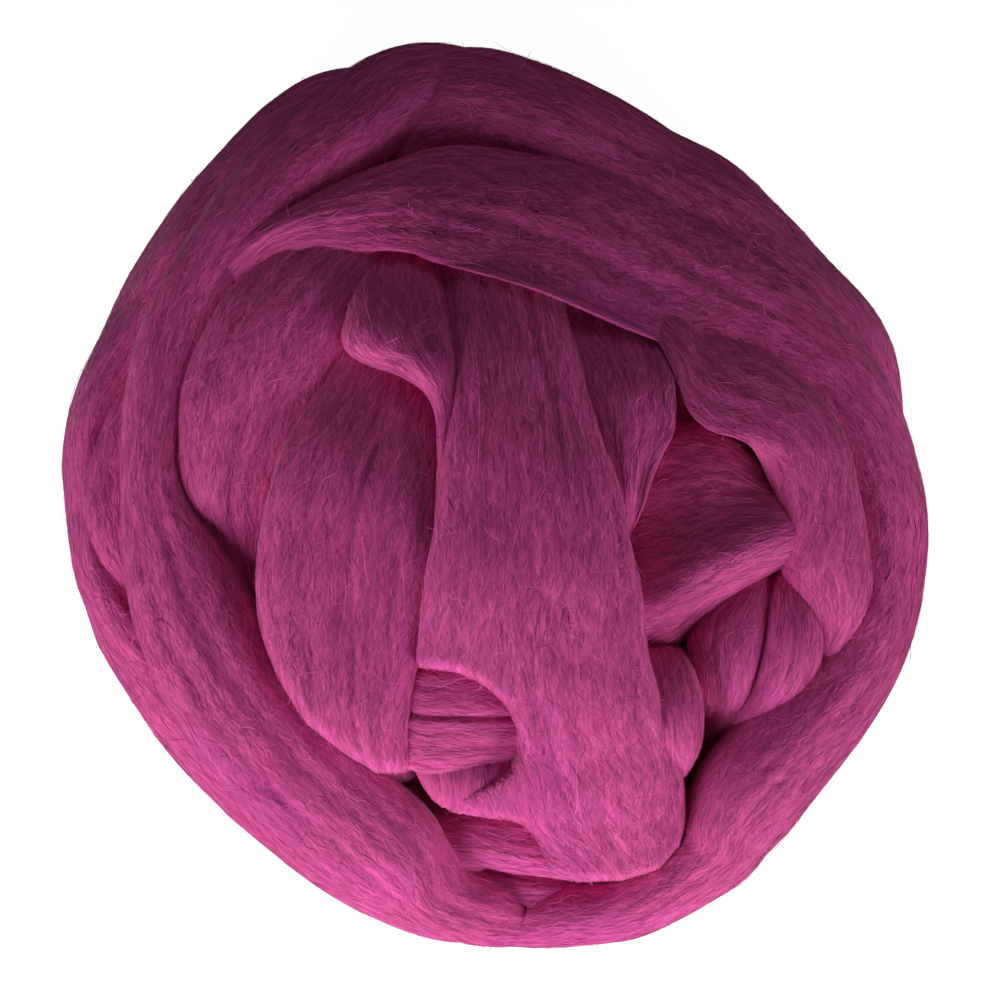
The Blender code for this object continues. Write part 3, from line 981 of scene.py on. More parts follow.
# The turns on the outside and on top, each from its hidden start to its hidden end.
OUTER_TURNS = (
    # Outermost, round the left side.
    Turn(
        "outer_left",
        (
            Section(-20, 111, 34, 20, 16, 60),
            Section(-47, 105, 38, 28, 22, 62),
            Section(-74, 80.5, 38, 30, 22, 68),
            Section(-98, 48, 37, 30, 17, 76),
            Section(-112, 20, 37, 30, 12.5, 80),
            Section(-112, -8, 37, 30, 12.5, 80),
            Section(-106.5, -28, 37, 30, 15.5, 76),
            Section(-94.5, -46, 37, 30, 21, 68),
            Section(-71.5, -72.5, 37, 30, 24, 60),
            Section(-43, -97, 37, 30, 24, 60),
            Section(-11, -113, 34, 24, 22, 62),
            Section(16, -110, 28, 14, 14, 60),
        ),
    ),
    # A sliver that shows between the outermost turn and the next.
    Turn(
        "left_sliver",
        (
            Section(-95, 38, 44, 8, 12, 20),
            Section(-102, 20, 47, 14, 13, 20),
            Section(-105, 3, 48.5, 17, 13, 20),
            Section(-103.5, -14, 48, 16, 13, 20),
            Section(-96, -31, 43, 8, 12, 20),
        ),
    ),
    # Second, just inside it and higher, broad at the front.
    Turn(
        "second_left",
        (
            Section(8, 109, 26, 16, 14, 50),
            Section(-10, 115, 37, 24, 20, 50),
            Section(-26, 112, 44, 29, 22, 46),
            Section(-42, 100, 51, 30, 22, 38),
            Section(-58, 86, 53, 28, 21, 31),
            Section(-74, 67, 54, 23, 21, 22),
            Section(-86, 45, 55, 20, 21, 10),
            Section(-92, 24, 56, 18, 21, 0),
            Section(-93, 2, 57, 19, 21, 2),
            Section(-87, -20, 58, 30, 21, 3),
            Section(-80, -38, 58, 35, 21, 4),
            Section(-68, -59, 57, 35, 21, 5),
            Section(-50, -79, 55, 35, 21, 10),
            Section(-29.5, -96.5, 51, 34, 21, 18),
            Section(-21.5, -103.5, 47, 26, 21, 28),
            Section(-14, -110.5, 43, 20, 21, 36),
            Section(-3, -115, 38, 19, 20, 42),
            Section(10, -117.5, 33, 13, 16, 46),
            Section(22, -117, 27, 8, 10, 50),
        ),
        furrows=(
            Furrow(0.48, 0.80, -0.05, -0.30, 2.4, 0.9),
            Furrow(0.54, 0.92, 0.42, 0.34, 1.8, 0.7),
            Furrow(0.62, 0.95, -0.66, -0.55, 1.8, 0.8),
            Furrow(0.10, 0.36, 0.20, 0.00, 2.0, 0.8),
        ),
        power=2.1,
    ),
    # Round the back, from under the second turn to the right side.
    Turn(
        "back",
        (
            Section(-41, 85, 37, 22, 18, -40),
            Section(-28, 99, 41, 28, 22, -38),
            Section(-9, 109, 43, 32, 24, -28),
            Section(13.5, 104, 44.5, 32, 24, -25),
            Section(36, 92, 43.5, 32, 24, -28),
            Section(60, 76, 42.5, 32, 24, -36),
            Section(82, 58, 41.5, 30, 24, -48),
            Section(99, 38, 39, 28, 22, -55),
            Section(106, 12, 34, 20, 18, -60),
        ),
    ),
    # Over the crown, down the right side and along the front.
    Turn(
        "crown_right",
        (
            Section(-87, -12, 48, 7, 9, 10),
            Section(-89, 8, 50, 8, 11, 6),
            Section(-87, 28, 52, 9, 13, 0),
            Section(-82, 45, 54, 9, 14, -6),
            Section(-72, 60, 57, 10, 15, -10),
            Section(-57.5, 71, 60, 12, 18, -14),
            Section(-40, 76, 59, 22, 21, -16),
            Section(-26, 78, 58, 29, 23, -18),
            Section(-12, 77.5, 57.5, 39, 25, -19),
            Section(17.5, 71.5, 57.5, 45, 25, -20),
            Section(49.5, 59, 54, 44, 24, -18),
            Section(78, 46, 51, 34, 23, -22),
            Section(98, 25, 48, 28, 24, -36),
            Section(106.5, 2, 45, 27, 25, -56),
            Section(107.5, -20, 43, 27, 25, -58),
            Section(103, -40, 44.5, 29, 25, -50),
            Section(90, -60, 48, 31, 26, -40),
            Section(73, -80, 49, 33, 26, -34),
            Section(65.5, -90.5, 47.5, 29, 26, -34),
            Section(59.5, -99.5, 44.5, 23, 25, -36),
            Section(38.5, -111.5, 40, 20, 24, -42),
            Section(20, -115.5, 37, 17, 21, -46),
            Section(8, -117.5, 33, 13, 17, -48),
            Section(-3, -118, 27, 8, 11, -50),
        ),
        furrows=(
            Furrow(0.30, 0.45, 0.20, 0.35, 2.4, 0.8),
            Furrow(0.36, 0.48, -0.35, 0.10, 2.0, 0.9),
            Furrow(0.68, 0.88, 0.20, 0.35, 2.0, 0.7),
        ),
        power=2.1,
        lip=0.97,
        lip_from=(0.12, 0.34),
        lip_to=(0.42, 0.50),
    ),
    # The leaf-shaped band inside the left edge.
    Turn(
        "inner_left",
        (
            Edges(-34, 77, 50, -20, 72, 54, 16),
            Edges(-50, 73, 54, -26, 64, 60, 20),
            Edges(-63, 65, 57, -32, 55, 63.5, 22),
            Edges(-74, 54, 59, -36, 45, 65.5, 23),
            Edges(-81, 42, 60, -41, 35, 65, 23),
            Edges(-86, 29, 60, -46, 25, 63, 23),
            Edges(-87, 16, 59, -52, 14, 61, 23),
            Edges(-87, 4, 57, -57, 3, 59, 22),
            Edges(-83, -7, 53, -59, -7, 56, 19),
            Edges(-78, -17, 50, -59, -17, 53, 17),
            Edges(-72, -28, 46, -57, -28, 49, 15),
            Edges(-65, -38, 40, -54, -38, 42, 10),
        ),
        furrows=(
            Furrow(0.17, 0.48, -0.35, -0.62, 1.7, 1.6),
            Furrow(0.30, 0.62, 0.25, 0.05, 1.6, 0.8),
        ),
    ),
    # Broad and upright, left of the middle; its fibres dive along its lower left edge.
    Turn(
        "front_left",
        (
            Edges(-38, 54, 56, -12, 46, 62, 20),
            Edges(-45, 35, 63, -10, 29, 62.5, 22),
            Edges(-54, 20, 66, -10, 13, 68, 24),
            Edges(-61, 3, 68, -12, -1, 72.5, 24),
            Edges(-64, -15, 67, -13, -16, 75, 24),
            Edges(-64, -33, 66, -16, -33, 73, 24),
            Edges(-62, -49, 64, -19, -48, 71, 24),
            Edges(-59, -60, 61, -21, -58, 69, 24),
            Edges(-53, -69, 58, -21.5, -67, 66, 23),
            Edges(-45, -77, 54, -21.5, -75, 62, 20),
            Edges(-39, -84, 48, -21.5, -81, 56, 14),
        ),
        furrows=(
            Furrow(0.28, 0.60, 0.15, 0.02, 2.2, 1.5),
            Furrow(0.45, 0.90, 0.55, 0.62, 1.8, 1.1),
            Furrow(0.55, 0.85, 0.15, 0.28, 1.6, 1.0),
            Furrow(0.35, 0.70, -0.45, -0.35, 2.6, 0.8),
        ),
        dives=(
            Dive(
                (
                    (-66, -20), (-64, -28), (-61, -37), (-56, -49), (-49, -60), (-39, -68), (-31, -73),
                    (-10, -73.5),
                ),
                depth=30.0,
                slope=9.0,
            ),
        ),
        power=2.5,
    ),
    # The broadest, on top of the rest, down the middle; its left half dives into the hole at the front.
    Turn(
        "front_middle",
        (
            Edges(-15, 75, 55, 19, 71, 51, 22),
            Edges(-15, 58, 65, 21, 51, 59, 23),
            Edges(-14, 42, 72.5, 26, 32, 66.5, 24),
            Edges(-14, 24, 77, 31, 15, 72, 24),
            Edges(-15, 7, 79, 35, 0, 75.5, 25),
            Edges(-16, -12, 79.5, 38, -16, 77, 25),
            Edges(-19, -29, 78, 41, -30, 76.5, 25),
            Edges(-21, -43, 75, 43, -43, 74, 25),
            Edges(-21, -54, 70.5, 46, -54, 71, 25),
            Edges(-20, -65, 65.5, 49, -64, 66.5, 25),
            Edges(-17, -76, 61, 52, -75, 61.5, 25),
            Edges(-13, -86, 56, 53, -84, 56.5, 25),
            Edges(-4, -94, 52, 53.5, -92, 53, 25),
            Edges(5, -100, 49.5, 53.5, -99, 50.5, 24),
            Edges(11, -104, 48, 51, -103.5, 48.5, 21),
            Edges(15, -107, 46, 48, -107, 46, 16),
        ),
        furrows=(
            Furrow(0.38, 0.75, 0.93, 0.90, 1.6, -0.9),
            Furrow(0.40, 0.75, 0.84, 0.80, 1.4, 0.6),
            Furrow(0.50, 0.95, 0.30, 0.35, 2.4, 0.6),
            Furrow(0.45, 0.90, -0.05, 0.10, 2.0, 0.5),
            Furrow(0.12, 0.55, -0.50, 0.05, 1.8, 0.6),
            Furrow(0.15, 0.50, 0.05, 0.50, 1.8, 0.7),
        ),
        dives=(
            Dive(
                (
                    (-30, -45.5), (-15, -45.5), (-8, -46.5), (-1, -50), (5.5, -56), (8.5, -63), (8.5, -71),
                    (6, -75.5), (1, -79), (-5, -81.5), (-8, -83.5), (-6, -85.5), (-1, -86.5), (5, -87),
                    (10.5, -89), (14, -94), (16.5, -100), (17, -107),
                ),
                depth=30.0,
                slope=5.5,
            ),
            Dive(
                (
                    (8, -98), (17, -102), (24, -104), (36, -104), (45, -101.5), (50.5, -95.5), (54, -86),
                    (56, -76),
                ),
                depth=26.0,
                slope=6.0,
            ),
        ),
        power=2.5,
        spacing=(0.9, 1.2),
    ),
    # The folded edge at the top of the middle band, and the edge that runs down from it.
    Turn(
        "middle_fold",
        (
            Edges(-31, 70, 50, -14, 72, 54, 12),
            Edges(-38, 58, 60, -13, 61, 63, 15),
            Edges(-40, 48, 68.5, -11, 52, 69, 17),
            Edges(-40.5, 40, 72, -9, 45, 73, 18),
            Edges(-34, 35, 73, -8, 39, 75.5, 18),
            Edges(-25, 32, 75, -8, 34, 77, 17),
            Edges(-18, 28, 76, -8, 29, 78, 15),
            Edges(-15, 22, 77, -8, 22, 78.5, 13),
            Edges(-14.5, 13, 77.5, -9, 12, 79, 11),
            Edges(-15, 2, 78, -10, 1, 79, 8),
            Edges(-16, -10, 77, -12, -11, 78.5, 5),
        ),
    ),
    # Right of the middle band, from under the crown.
    Turn(
        "inner_right",
        (
            Edges(18, 68, 53, 38, 60, 52, 18),
            Edges(12, 51, 60, 40, 46, 56, 18),
            Edges(15, 40, 65, 46, 36, 61, 20),
            Edges(20, 29, 69, 48.5, 26, 65.5, 21),
            Edges(24, 18, 71, 48.5, 16, 68.5, 20),
            Edges(29, 8, 71.5, 44, 8, 70.5, 18),
            Edges(33, -1, 71, 40.5, -2, 70.5, 15),
            Edges(35.5, -9, 66, 37.5, -10, 66, 9),
        ),
        lip=0.85,
    ),
    # The arc between the crown turn and the loop.
    Turn(
        "right_arc",
        (
            Edges(27, 62, 48, 28, 53, 49, 12),
            Edges(35, 58.5, 52.5, 37, 47, 56, 16),
            Edges(44, 54.5, 55, 43, 41, 61.5, 19),
            Edges(51, 51, 56.5, 47, 32, 65, 20),
            Edges(59, 47, 57, 50.5, 22, 66.5, 20),
            Edges(67, 43.5, 56.5, 57, 15, 67.5, 20),
            Edges(76, 39, 55, 66.5, 12, 67, 20),
            Edges(86, 31, 54, 74.5, 6.5, 65.5, 21),
            Edges(95, 19.5, 54, 78, -2.5, 64, 22),
            Edges(101, 5, 55.5, 79.5, -13, 60.5, 22),
            Edges(104, -11, 57, 80, -22.5, 57, 22),
            Edges(104.5, -25, 56.5, 84.5, -29, 55, 20),
            Edges(101.5, -36, 54, 88.5, -36, 52.5, 17),
            Edges(96.5, -44.5, 51.5, 88.5, -42, 51, 15),
            Edges(91, -50.5, 49, 86, -47, 49, 12),
            Edges(85, -53, 44, 83, -50, 44, 8),
        ),
        power=2.4,
        lip=0.8,
        lip_to=(0.38, 0.50),
    ),
    # The loop that fans out from under the middle band, its front edge rolled.
    Turn(
        "loop",
        (
            Edges(30, 18, 59, 34, -50, 53, 18),
            Edges(41, 20, 59.5, 43, -45.5, 54, 20),
            Edges(52, 20, 59.5, 55, -38, 54.5, 20),
            Edges(62, 18, 58.5, 64, -30, 54.5, 20),
            Edges(70, 12, 56, 71, -22.5, 54, 18),
            Edges(77, 4, 53, 77, -15.5, 52, 15),
            Edges(82, -4, 49, 81, -11, 49.5, 8),
        ),
        furrows=(
            Furrow(0.0, 1.0, 0.50, 0.28, 10.0, -8.5),
        ),
    ),
    # Two short crossings between the loop and the front rim.
    Turn(
        "crossing_inner",
        (
            Edges(80, -15, 47, 72, -16, 47, 12),
            Edges(78, -27, 55, 63, -27, 53, 16),
            Edges(75, -39, 58, 54, -37, 55, 18),
            Edges(72, -48, 57, 54.5, -49, 57, 17),
            Edges(69, -55, 52, 56, -57, 51, 14),
            Edges(65, -62, 43, 56, -65, 42, 10),
            Edges(61, -70, 35, 55, -72, 35, 8),
        ),
    ),
    Turn(
        "crossing_outer",
        (
            Edges(86, -19, 48, 76, -20, 48, 12),
            Edges(90, -28, 54, 75, -29, 55, 16),
            Edges(92, -38, 56, 73.5, -39, 57, 18),
            Edges(90, -48, 54, 70, -50, 55, 18),
            Edges(81, -57, 49, 64, -59, 50, 16),
            Edges(73, -64, 42, 62, -66, 43, 9),
        ),
    ),
    # The bulge beside the foot of the middle band.
    Turn(
        "side_lobe",
        (
            Edges(52.5, -42, 50, 38, -43, 51, 12),
            Edges(55, -48, 59, 38, -50, 61, 17),
            Edges(57, -56, 62, 38.5, -57, 65, 19),
            Edges(57, -64, 61, 42, -65, 64.5, 19),
            Edges(55, -70.5, 55, 46, -71, 58, 15),
            Edges(52.5, -74.5, 46, 48.5, -75, 48, 8),
        ),
    ),
    # What shows in the holes at the front.
    Turn(
        "gap_upper",
        (
            Edges(-24, -44, 58, -24, -71, 53, 14),
            Edges(-19, -44, 68, -19, -76, 60, 18),
            Edges(-3, -44, 70, -3, -77.5, 61.5, 18),
            Edges(12, -46, 67, 12, -76, 59, 16),
        ),
        furrows=(
            Furrow(0.0, 1.0, -0.12, -0.16, 0.9, 1.4),
        ),
    ),
    Turn(
        "gap_foot",
        (
            Edges(-27, -62, 46, 13, -62, 48, 12),
            Edges(-25, -69, 53.5, 14, -69, 54.5, 17),
            Edges(-22.5, -74, 57.5, 14, -75, 60.5, 18),
            Edges(-20.5, -77.5, 58.5, 12, -79, 62, 18),
            Edges(-18, -80, 56, 8, -82, 60.5, 15),
            Edges(-15, -81.5, 51, 4, -84, 56, 10),
        ),
    ),
    Turn(
        "front_low",
        (
            Edges(-24, -84, 36, -19, -95, 37, 14),
            Edges(-13, -84, 41, -10, -101, 41.5, 17),
            Edges(0, -85, 44, 4, -105, 43.5, 18),
            Edges(9, -86, 47, 13, -106, 45, 17),
            Edges(21, -91, 48, 24, -107, 44, 16),
        ),
    ),
    Turn(
        "front_corner",
        (
            Edges(-10, -99, 36, -2, -111, 33, 12),
            Edges(2, -101, 39, 6, -116, 33, 14),
            Edges(13, -103, 40, 13, -116, 34, 14),
            Edges(26, -104, 38, 22, -112, 35, 12),
        ),
    ),
)

# The turns that the ball rests on, and the coil inside it.
SPIRALS = (
    Spiral(
        "resting_spiral",
        (
            SpiralStage(0, 14, 11, 0),
            SpiralStage(0.9, 37, 11, 0),
            SpiralStage(1.8, 54, 11, 0),
            SpiralStage(2.4, 76, 13.5, -20),
            SpiralStage(3.0, 91, 18.5, -43),
            SpiralStage(3.5, 99, 25, -63),
            SpiralStage(3.9, 101, 31, -78),
            SpiralStage(4.25, 93, 36, -80),
        ),
        start_angle=205,
        width=30,
        thick=24,
        wander=2.5,
        lift=0.0,
        hidden=Hidden.ABOVE,
    ),
    Spiral(
        INSIDE,
        (
            SpiralStage(0, 8, 44, 0),
            SpiralStage(1.2, 34, 42, 0),
            SpiralStage(2.4, 62, 34, 0),
            SpiralStage(3.5, 84, 30, 10),
        ),
        start_angle=20,
        width=34,
        thick=30,
        wander=2.0,
        lift=1.0,
        hidden=Hidden.BELOW,
        spacing=(2.4, 6.0),
    ),
)


@dataclass(frozen=True)
class FibreKind:
    """A kind of loose fibre.

    Attributes:
        name: What the pieces that hold it are called.
        per_cm2: How many there are on each square centimetre that faces up.
        length: Their mean length, in millimetres.
        slant: How far they turn from the wool's run, in degrees, as a spread.
        width: How wide they are, in millimetres.
        lift: How far their middles rise off the wool, in millimetres.
        free_end: How far one end stands off it, in millimetres.
        straight: How far they keep straight on where the wool curves away, from 0 to 1.
        wave: How far they wave aside, in millimetres.
        points: How many points each has.
        shades: Whether they throw shadows.
    """

    name: str
    per_cm2: float
    length: float
    slant: float
    width: float
    lift: float
    free_end: float
    straight: float
    wave: float
    points: int
    shades: bool

    # How even the lengths are: more is more even.
    evenness = 6.0
    # How many waves a fibre sways in along its length, slow and fast.
    sway_speeds = (0.7, 2.1)
    # The share of the fibres with a loose end.
    loose_share = 0.6
    # How deep both ends sink in, and how far a straight fibre may leave the wool, in millimetres.
    sunk = 0.02
    farthest = 4.0

    def paths(self, skin: Skin, ring: Array, side: Array, rng: Random) -> tuple[Array, Array]:
        """Lays fibres on a skin.

        Args:
            skin: The turn's skin.
            ring: Where each starts along it, in rings.
            side: Where each starts round it, in sides.
            rng: What shapes them.

        Returns:
            Their points, and the wool's normals there.
        """
        count = (len(ring), 1)
        t = np.linspace(0, 1, self.points)[None]
        length = rng.gamma(self.evenness, self.length / self.evenness, count) * MM
        heading = np.radians(rng.normal(0, self.slant, count))
        step_along = float(np.mean(np.diff(skin.along)))
        step_round = skin.girth / skin.places.shape[1] * (1 - Turn.crowding * 0.7)
        sway = np.zeros((len(ring), self.points))
        for speed in self.sway_speeds:
            swing = t * speed * rng.uniform(0.7, 1.4, count) + rng.random(count)
            sway += rng.normal(0, self.wave / (0.6 + speed), count) * MM * np.sin(math.tau * swing)
        towards = rng.choice([-1, 1], count)
        rings = ring[:, None] + towards * length * t * np.cos(heading) / step_along
        sides = side[:, None] + (length * t * np.sin(heading) + sway) / step_round
        places, outward = on_skin(skin, rings, sides)
        ahead = unit(places[:, 1] - places[:, 0])[:, None]
        onward = places[:, :1] + ahead * length[..., None] * t[..., None]
        off = ((onward - places) * outward).sum(2)
        rise = rng.gamma(2.0, self.lift / 2, count)
        end = rng.gamma(1.5, self.free_end / 1.5, count) * (rng.random(count) < self.loose_share)
        height = (rise * np.sin(math.pi * t) + end * t**2 - self.sunk) * MM
        height = height + np.clip(off, 0, self.farthest * MM) * self.straight
        return places + outward * height[..., None], outward


def on_skin(skin: Skin, ring: Array, side: Array) -> tuple[Array, Array]:
    """Reads a skin between its points.

    Args:
        skin: The skin.
        ring: Where along it, in rings.
        side: Where round it, in sides.

    Returns:
        The places and the normals there.
    """
    rings, sides = skin.places.shape[:2]
    ring = np.clip(ring, 0, rings - 1.001)
    low_ring, low_side = np.floor(ring).astype(int), np.floor(side).astype(int)
    r, s = (ring - low_ring)[..., None], (side - low_side)[..., None]
    here, there = low_side % sides, (low_side + 1) % sides
    found = []
    for grid in (skin.places, skin.outward):
        found.append(
            (grid[low_ring, here] * (1 - s) + grid[low_ring, there] * s) * (1 - r)
            + (grid[low_ring + 1, here] * (1 - s) + grid[low_ring + 1, there] * s) * r
        )
    return found[0], unit(found[1])


@dataclass
class FibreCoat:
    """Loose fibres on all the turns, as thin tapering strips.

    Attributes:
        kinds: The kinds of fibre.
        below: How many fibres the underside has, as a share of what the top has.
        open_reach: How far out the wool must be clear of other turns to carry a fibre, in millimetres.
        tilt: How far the strips tilt, in degrees, as a spread.
        most_faces: The most triangles in one piece.
    """

    kinds: tuple[FibreKind, ...] = (
        FibreKind("felted_fibres", 38.0, 5.0, 13.0, 0.22, 0.08, 0.05, 0.0, 0.35, 5, True),
        FibreKind("long_fibres", 2.6, 14.0, 7.0, 0.22, 0.18, 0.15, 0.1, 0.9, 9, False),
        FibreKind("stray_fibres", 3.0, 7.0, 26.0, 0.17, 0.15, 0.25, 0.3, 0.8, 6, False),
        FibreKind("fuzz", 9.0, 4.0, 60.0, 0.14, 0.15, 0.8, 0.8, 0.5, 4, False),
    )
    below: float = 0.15
    open_reach: float = 4.0
    tilt: float = 18.0
    most_faces: int = 190000

    first_seed = 1000
    # How much the wool faces up where it starts to carry more fibres than the underside, and where all.
    facing_up = (-0.1, 0.5)
    # How far off the wool the search for other turns starts, in millimetres.
    clearance = 0.6
    # The lowest that a fibre grows and the lowest that it hangs, in millimetres.
    lowest_root = 1.5
    lowest = 0.3
    # The thinnest and widest fibre, as shares of the width of its kind.
    width_spread = (0.7, 1.25)

    def sown(self, skin: Skin, tree: BVHTree, per_cm2: float, rng: Random) -> tuple[Array, Array]:
        """Picks places on a turn that show.

        Args:
            skin: The turn's skin.
            tree: All the turns, to tell what they cover.
            per_cm2: How many to pick for each square centimetre that faces up.
            rng: What picks them.

        Returns:
            Their ring and side in the skin's grid, as fractions.
        """
        sides = skin.places.shape[1]
        down = np.linalg.norm(np.diff(skin.places, axis=0), axis=2)
        across = np.linalg.norm(np.roll(skin.places, -1, axis=1) - skin.places, axis=2)[:-1]
        facing = self.below + (1 - self.below) * smooth_step(*self.facing_up, skin.outward[:-1, :, 2])
        area = down * across * facing
        area[: skin.capped] = 0
        area[-skin.capped :] = 0
        wanted = rng.poisson(area.sum() * CM2_PER_M2 * per_cm2)
        cells = rng.choice(area.size, wanted, p=(area / area.sum()).ravel())
        ring, side = np.divmod(cells, sides)
        ring = ring + rng.random(wanted)
        side = side + rng.random(wanted)
        place, outward = on_skin(skin, ring, side)
        starts = place + outward * self.clearance * MM
        shows = [
            tree.ray_cast(Vector(start), Vector(away), self.open_reach * MM)[0] is None
            for start, away in zip(starts, outward)
        ]
        shows = np.array(shows, bool) & (place[:, 2] > self.lowest_root * MM)
        return ring[shows], side[shows]

    def strips(self, name: str, width: float, paths: Array, normals: Array, rng: Random) -> bpy.types.Mesh:
        """Makes a strip along every path.

        Args:
            name: The mesh's name.
            width: How wide the strips are, in millimetres.
            paths: The points, by fibre and by step.
            normals: The wool's normals there.
            rng: What shades them.

        Returns:
            The mesh, with the map that colours it.
        """
        count, steps = paths.shape[:2]
        paths[:, :, 2] = np.maximum(paths[:, :, 2], self.lowest * MM)
        tangent = unit(np.gradient(paths, axis=1))
        aside = unit(np.cross(tangent, normals))
        up = np.cross(aside, tangent)
        tilt = np.radians(rng.normal(0, self.tilt, (count, 1, 1)))
        aside = aside * np.cos(tilt) + up * np.sin(tilt)
        # Full in the middle and thin at the ends.
        taper = 0.25 + 0.75 * np.sin(math.pi * np.linspace(0.05, 0.95, steps)) ** 0.6
        half = (width / 2 * MM * rng.uniform(*self.width_spread, (count, 1)) * taper)[..., None]
        points = np.stack([paths + aside * half, paths - aside * half], axis=2)
        fibre, step = np.meshgrid(np.arange(count), np.arange(steps - 1), indexing="ij")
        base = (fibre * steps + step) * 2
        corners = np.stack([base, base + 2, base + 3, base + 1], -1)
        # A shade for each fibre, a little lighter along one edge.
        shade = 0.02 + rng.beta(1.8, 2.0, count)[fibre][..., None] * 0.92 + np.array([0, 0, 0.04, 0.04])
        length = np.stack([step, step + 1, step + 1, step], -1) / (steps - 1)
        mesh = new_mesh(name, points.reshape(-1, 3), corners.ravel(), np.full(count * (steps - 1), 4))
        add_map(mesh, DRAWN_MAP, shade.reshape(-1), length.reshape(-1))
        return mesh

    def grow(self, turns: list[Turn], tree: BVHTree, material: bpy.types.Material) -> None:
        """Grows the fibres of all the turns.

        Args:
            turns: The turns that show.
            tree: All the turns, to tell what they cover.
            material: The fibres' material.
        """
        for number, kind in enumerate(self.kinds):
            rng = np.random.default_rng(self.first_seed + number)
            found = []
            for turn in turns:
                ring, side = self.sown(turn.skin, tree, kind.per_cm2, rng)
                found.append(kind.paths(turn.skin, ring, side, rng))
            paths, normals = (np.concatenate(part) for part in zip(*found))
            faces = 2 * (kind.points - 1)
            share = self.most_faces // faces
            for part, start in enumerate(range(0, len(paths), share)):
                name = f"{kind.name}_{part + 1}"
                some = slice(start, start + share)
                mesh = self.strips(name, kind.width, paths[some], normals[some], rng)
                piece = place_piece(name, mesh, material)
                piece.visible_shadow = kind.shades
                log.info("%s: %d fibres, %d triangles", name, len(paths[some]), len(paths[some]) * faces)


@dataclass
class WoolBall:
    """The whole winding.

    Attributes:
        turns: Every turn, the spirals among them.
        coat: The loose fibres.
    """

    turns: list[Turn]
    coat: FibreCoat

    def wind(self) -> None:
        """Makes every skin, and moves them all to where the frame's solid is."""
        for number, turn in enumerate(self.turns):
            turn.seed = 10 * number
            turn.wind()
            turn.move(np.array(TABLE_ORIGIN) * MM)

    def tree(self) -> BVHTree:
        """Every second ring and third side of all the skins, for telling what covers what."""
        points, faces = [], []
        for turn in self.turns:
            grid = turn.skin.places[::2, ::3]
            quads = grid_quads(*grid.shape[:2])[2].reshape(-1, 4)
            faces += (quads + len(points)).tolist()
            points += grid.reshape(-1, 3).tolist()
        return BVHTree.FromPolygons(points, faces)

    def build(self) -> None:
        """Makes every piece."""
        wool = CombedWool().material()
        self.wind()
        for turn in self.turns:
            piece = turn.build(wool)
            log.info("%s: %d faces", piece.name, len(piece.data.polygons))
        showing = [turn for turn in self.turns if turn.name != INSIDE]
        self.coat.grow(showing, self.tree(), LooseFibre().material())


class Lamp(NamedTuple):
    """A square soft light.

    azimuth is where it hangs, in degrees round from +X, elevation how high, in degrees above the floor,
    and power is in watts.
    """

    name: str
    azimuth: float
    elevation: float
    power: float


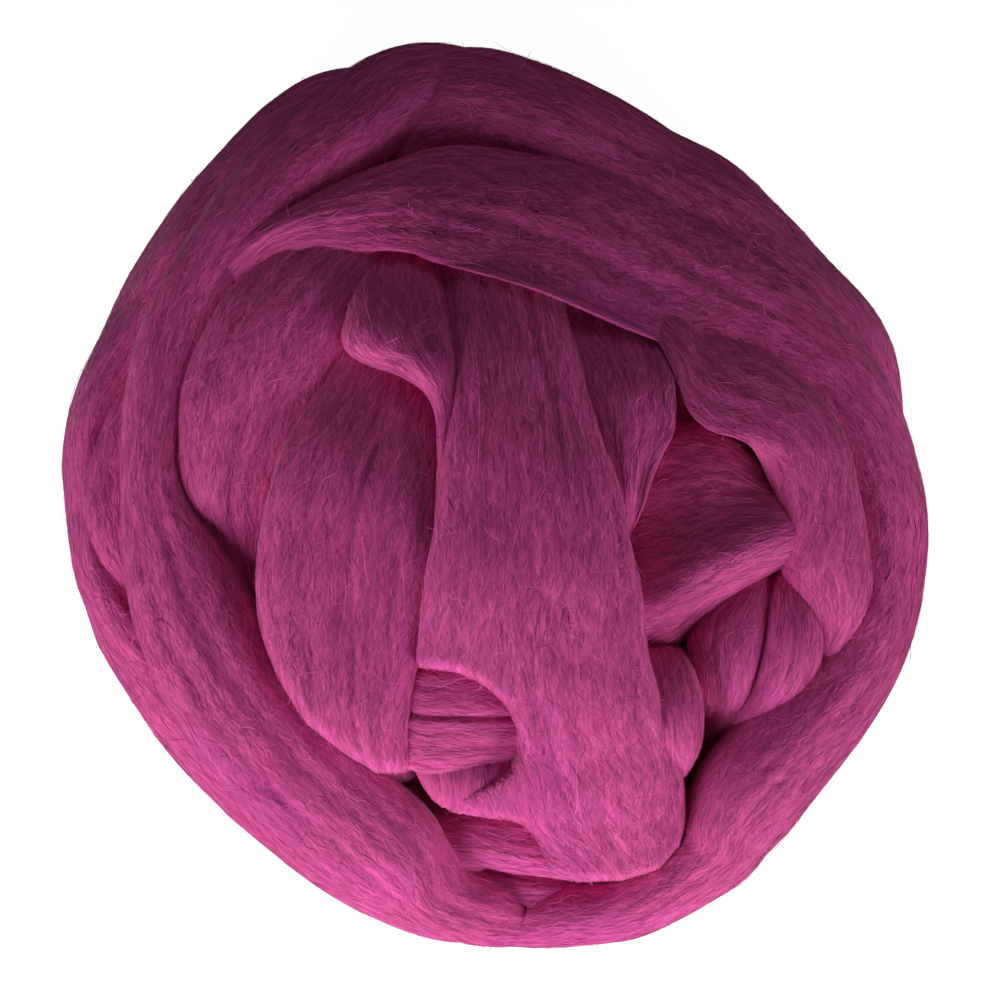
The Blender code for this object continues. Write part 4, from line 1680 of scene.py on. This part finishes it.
@dataclass
class Studio:
    """A pale floor and backdrop, soft light and a camera straight above the ball.

    Attributes:
        view_height: How high the camera is, in metres.
        view_width: How wide a stretch it takes in at the height of what it looks at, in metres.
        aim: What it looks at, in metres.
        room: The radius of the floor and of the dome above it, in metres.
        glow: How bright the floor and the dome are of themselves.
        air: How bright the light from all round is.
        lamps: The lamps, low at the front and higher at the back.
        lamp_side: The length of a lamp's side, in metres.
        lamp_distance: How far from what they light the lamps hang, in metres.
        lit: What they face, in metres.
    """

    view_height: float = 1.6
    view_width: float = 0.277
    aim: tuple[float, float, float] = (0.0014, 0.0005, 0.045)
    room: float = 5.0
    glow: float = 0.96
    air: float = 0.04
    lamps: tuple[Lamp, ...] = (
        Lamp("key_light", -128, 14, 20.5),
        Lamp("side_light", -44, 14, 14.4),
        Lamp("back_light", 90, 30, 1.6),
    )
    lamp_side: float = 0.8
    lamp_distance: float = 1.4
    lit: tuple[float, float, float] = (0.0, 0.0, 0.05)

    def sweep(self) -> None:
        """Makes the floor and the dome, which the ball doesn't mirror and takes no light from."""
        mesh = bpy.data.meshes.new("sweep")
        shape = bmesh.new()
        bmesh.ops.create_uvsphere(shape, u_segments=48, v_segments=24, radius=self.room)
        for vertex in shape.verts:
            vertex.co.z = max(vertex.co.z, 0.0) - 0.2 * MM
        shape.to_mesh(mesh)
        shape.free()
        pale_sweep = ShaderBench("pale_sweep").dress({
            "Base Color": (0.25, 0.25, 0.25, 1.0),
            "Roughness": 0.9,
            "Specular IOR Level": 0.0,
            "Emission Color": (1.0, 1.0, 1.0, 1.0),
            "Emission Strength": self.glow,
        })
        mesh.materials.append(pale_sweep)
        piece = bpy.data.objects.new("sweep", mesh)
        bpy.context.scene.collection.objects.link(piece)
        piece.visible_diffuse = False
        piece.visible_glossy = False
        piece.visible_transmission = False
        piece.visible_shadow = False

    def hang(self, lamp: Lamp) -> None:
        """Hangs a lamp so that it faces the ball."""
        turn, rise = math.radians(lamp.azimuth), math.radians(lamp.elevation)
        away = Vector((math.cos(turn) * math.cos(rise), math.sin(turn) * math.cos(rise), math.sin(rise)))
        data = bpy.data.lights.new(lamp.name, "AREA")
        data.size = self.lamp_side
        data.energy = lamp.power
        light = bpy.data.objects.new(lamp.name, data)
        light.location = Vector(self.lit) + away * self.lamp_distance
        light.rotation_euler = away.to_track_quat("Z", "Y").to_euler()
        bpy.context.scene.collection.objects.link(light)

    def camera(self) -> None:
        """Hangs the camera above the ball."""
        data = bpy.data.cameras.new("camera")
        data.lens = data.sensor_width * self.view_height / self.view_width
        camera = bpy.data.objects.new("camera", data)
        camera.location = Vector(self.aim) + Vector((0, 0, self.view_height))
        bpy.context.scene.collection.objects.link(camera)
        bpy.context.scene.camera = camera

    def set_up(self) -> None:
        """Makes the stage, the lights and the camera."""
        scene = bpy.context.scene
        scene.view_settings.view_transform = "Standard"
        world = bpy.data.worlds.new("studio_air")
        world.use_nodes = True
        background = world.node_tree.nodes["Background"]
        background.inputs["Color"].default_value = (1.0, 1.0, 1.0, 1.0)
        background.inputs["Strength"].default_value = self.air
        scene.world = world
        self.sweep()
        for lamp in self.lamps:
            self.hang(lamp)
        self.camera()


def main() -> None:
    """Builds the ball and its studio."""
    logging.basicConfig(level=logging.INFO, format="%(name)s: %(message)s")
    turns = [spiral.turn() for spiral in SPIRALS] + list(OUTER_TURNS)
    WoolBall(turns, FibreCoat()).build()
    Studio().set_up()


if __name__ == "__main__":
    main()
